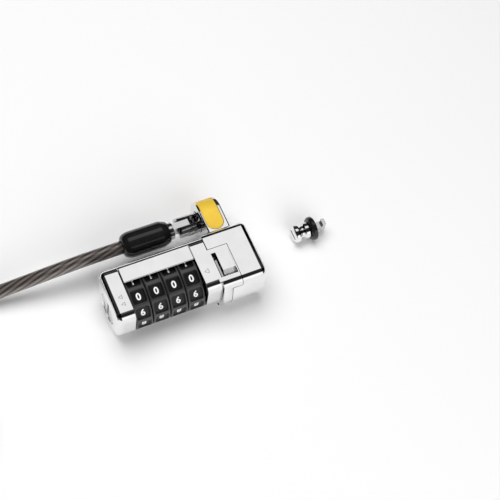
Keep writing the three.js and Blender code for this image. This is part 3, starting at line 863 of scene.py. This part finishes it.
# ---- Cable joint ----
def stadium(radius, steps=40):
    points = []
    for i in range(steps + 1):
        turn = -math.pi / 2 + math.pi * i / steps
        points.append((BARREL_Y + radius * math.cos(turn), BARREL_Z + radius * math.sin(turn)))
    return points + [(LUG_INNER, BARREL_Z + radius), (LUG_INNER, BARREL_Z - radius)]


def inlay_shape(name, start, end, outer, inner, front):
    half, middle = (end - start) / 2, (start + end) / 2
    band = extrude_x(name, stadium(outer), start, end)
    cut(band, extrude_x("inside", [(y if y > LUG_INNER else y - 1, z) for y, z in stadium(inner)],
                        start - 1, end + 1))
    low = BARREL_Z - 1
    nose = rod_between(half, (middle, front + half, low), (middle, front + half, 20), 64)
    add(nose, box(start, end, front + half, 40, BARREL_Z - 7, 20))
    return keep(band, nose)


def make_lug():
    lug = rounded_block("cable_lug_cover", lambda inset: stadium(LUG_RADIUS - inset), LUG_START, LUG_END,
                        0.7, 0.7)
    head = dict(HEAD, fillet=HEAD["fillet"] + 0.05, round=HEAD["round"] + 0.05)
    cut(
        lug,
        extrude_x("head_space", body_outline(head), 20, 38),
        rod_x(BARREL_RADIUS + GAP, LUG_START - 1, BARREL_END + GAP, BARREL_Y, BARREL_Z),
        rod_x(JOURNAL + GAP, LUG_START, LUG_END + 1, BARREL_Y, BARREL_Z),
        rod_x(5.6, 33.4, LUG_END + 1, BARREL_Y, BARREL_Z),
        inlay_shape("recess", INLAY_START - 0.15, INLAY_END + 0.15, LUG_RADIUS + 1, LUG_RADIUS - 0.6,
                    INLAY_FRONT - 0.15),
    )
    smooth(lug, 0.1)
    place(lug, CHROME, "lock_body", "chrome", "cable_lug")

    def in_recess(middle):
        depth = LUG_RADIUS - math.hypot(max(middle.y - BARREL_Y, 0), middle.z - BARREL_Z)
        return 0.1 < depth < 0.7 and INLAY_START - 0.25 < middle.x < INLAY_END + 0.25

    # The floor and walls of the recess round the inlay are made near-black: painted shade in the gap round
    # the inlay.
    paint(lug, POCKET_SHADE_PLASTIC, in_recess)
    inlay = inlay_shape("yellow_inlay", INLAY_START, INLAY_END, LUG_RADIUS, LUG_RADIUS - 0.5, INLAY_FRONT)
    smooth(inlay, 0.14)
    place(inlay, YELLOW, "lock_body", "yellow", "lug_inlay")


def make_barrel():
    barrel = lathe_x("swivel_barrel_body", [
        (BARREL_START, BARREL_RADIUS - 0.3), (BARREL_START + 0.3, BARREL_RADIUS),
        (BARREL_END - 0.3, BARREL_RADIUS), (BARREL_END, BARREL_RADIUS - 0.3), (BARREL_END, JOURNAL),
        (33.5, JOURNAL), (33.5, 2.7), (34.4, 2.7), (34.4, JOURNAL), (BARREL_TAIL - 0.6, JOURNAL),
        (BARREL_TAIL - GAP, JOURNAL - 0.3),
    ], BARREL_Y, BARREL_Z)
    clearing = rod_between(PIVOT_X - BARREL_START, (PIVOT_X, BARREL_Y - 6, BARREL_Z),
                           (PIVOT_X, BARREL_Y + 6, BARREL_Z), 96)
    add(clearing, box(PIVOT_X, BARREL_TAIL + 1, BARREL_Y - 6, BARREL_Y + 6, BARREL_Z - 6, BARREL_Z + 6))
    keep(barrel, clearing)
    slot_x = SLOT_END - SLOT_HALF
    cut(
        barrel,
        box(BARREL_START - 1, slot_x, BARREL_Y - SLOT_HALF, BARREL_Y + SLOT_HALF, BARREL_Z + SLOT_FLOOR,
            BARREL_Z + 6),
        rod_between(SLOT_HALF, (slot_x, BARREL_Y, BARREL_Z + SLOT_FLOOR), (slot_x, BARREL_Y, BARREL_Z + 6)),
        rod_between(1.15, (PIVOT_X, BARREL_Y - 6, BARREL_Z), (PIVOT_X, BARREL_Y + 6, BARREL_Z)),
    )
    smooth(barrel, 0.12)
    place(barrel, STEEL, "barrel", "steel", "swivel_barrel")


def make_ferrule():
    eye, top, half = -SLOT_FLOOR - GAP, 3.4, 1.4
    ferrule = box(COLLAR_END - 0.1, PIVOT_X, BARREL_Y - half, BARREL_Y + half,
                  BARREL_Z - eye, BARREL_Z + top, "cable_ferrule_body")
    add(
        ferrule,
        rod_between(eye, (PIVOT_X, BARREL_Y - half, BARREL_Z), (PIVOT_X, BARREL_Y + half, BARREL_Z)),
        rod_x(COLLAR_RADIUS, SLEEVE_END + GAP, COLLAR_END, BARREL_Y, BARREL_Z),
        rod_x(3.1, -1.7, SLEEVE_END + 0.5, BARREL_Y, BARREL_Z),
    )
    cut(ferrule, rod_between(1.15, (PIVOT_X, BARREL_Y - 6, BARREL_Z), (PIVOT_X, BARREL_Y + 6, BARREL_Z)))
    smooth(ferrule, 0.14)
    place(ferrule, STEEL, "cable_side", "steel", "cable_ferrule")


def make_sleeve():
    start, end, radius = -8.4, SLEEVE_END, 5.5
    profile = [(start, 2.9)]
    for i in range(10):
        turn = math.pi / 2 * i / 9
        profile.append((start + 4.2 * (1 - math.cos(turn)), 3.1 + (radius - 3.1) * math.sin(turn)))
    profile += [(end - 3.4, radius), (end - 3.0, radius - 0.03), (end - 2.4, radius - 0.2)]
    profile += [(end - 0.25, 4.55), (end - 0.05, 4.35), (end, 4.1)]
    sleeve = lathe_x("strain_relief_sleeve", profile, BARREL_Y, BARREL_Z)
    cut(sleeve, rod_x(3.4, -2, end + 1, BARREL_Y, BARREL_Z))
    smooth(sleeve)
    place(sleeve, GLOSS_BLACK, "cable_side", "black_plastic", "strain_sleeve")


# ---- Anchor ----
def make_anchor():
    x, y, z = ANCHOR
    stud = lathe_x("anchor_stud_body", [
        (0, 2.9), (0.12, 3.3), (0.5, 3.8), (0.8, 3.9), (2.1, 3.9), (2.5, 3.75), (2.9, 3.3), (3.2, 2.75),
        (3.6, 2.7), (4.4, 2.7), (4.6, 2.8), (5, 3.4), (5.2, 3.5), (6.8, 3.5), (7, 3.3), (7, 1.6), (9.8, 1.6),
    ], y, z, x)
    cut(stud, box(x - 0.5, x + 0.8, y - 2.4, y + 2.4, z - 0.5, z + 0.5))
    smooth(stud, 0.08)
    place(stud, CHROME, "anchor", "chrome", "anchor_stud")
    collar = tube_x("anchor_collar_ring", [
        (7.3, 4.3), (7.4, 4.5), (8, 5.05), (8.3, 5.15), (9.4, 5.15), (9.8, 4.8),
    ], 1.9, y, z, x)
    smooth(collar, 0.1)
    place(collar, GLOSS_BLACK, "anchor", "black_plastic", "anchor_collar")
    bar = box(x + 10.1, x + 13.2, y - 1.4, y + 1.4, z - 1.4, z + 1.4, "anchor_cross_bar")
    add(bar, box(x + 13.1, x + 14.6, y - 1.45, y + 1.45, z - 3.2, z + 3.2))
    smooth(bar, 0.2)
    place(bar, STEEL, "anchor", "steel", "anchor_bar")


def finish_hidden_nodes():
    """The pieces inside keep their CAD shape and get the material of their slot."""
    finishes = {
        STEEL: ("cap_dowel", "spindle", "latch_plate", "pivot_pin"),
        SPRING: ("detent_spring", "spindle_spring", "latch_spring", "barrel_clip"),
        BRASS: tuple(f"wheel_hub_{i + 1}" for i in range(4)),
    }
    for material, names in finishes.items():
        for name in names:
            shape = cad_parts[name]
            shape.data.materials.clear()
            shape.data.materials.append(material)


bpy.context.scene.view_settings.view_transform = "Standard"
make_camera()
make_floor()
make_world()
area_light("key", (-0.15, 0.25, 0.9), (0, 0.02, 0), 0.8, 7.4)
area_light("front_fill", (0.05, -0.7, 0.5), (0, 0, 0.01), 0.7, 3.4)
make_cable()
make_cap()
make_housing()
make_head()
make_button()
make_wheels()
make_lug()
make_barrel()
make_ferrule()
make_sleeve()
make_anchor()
finish_hidden_nodes()
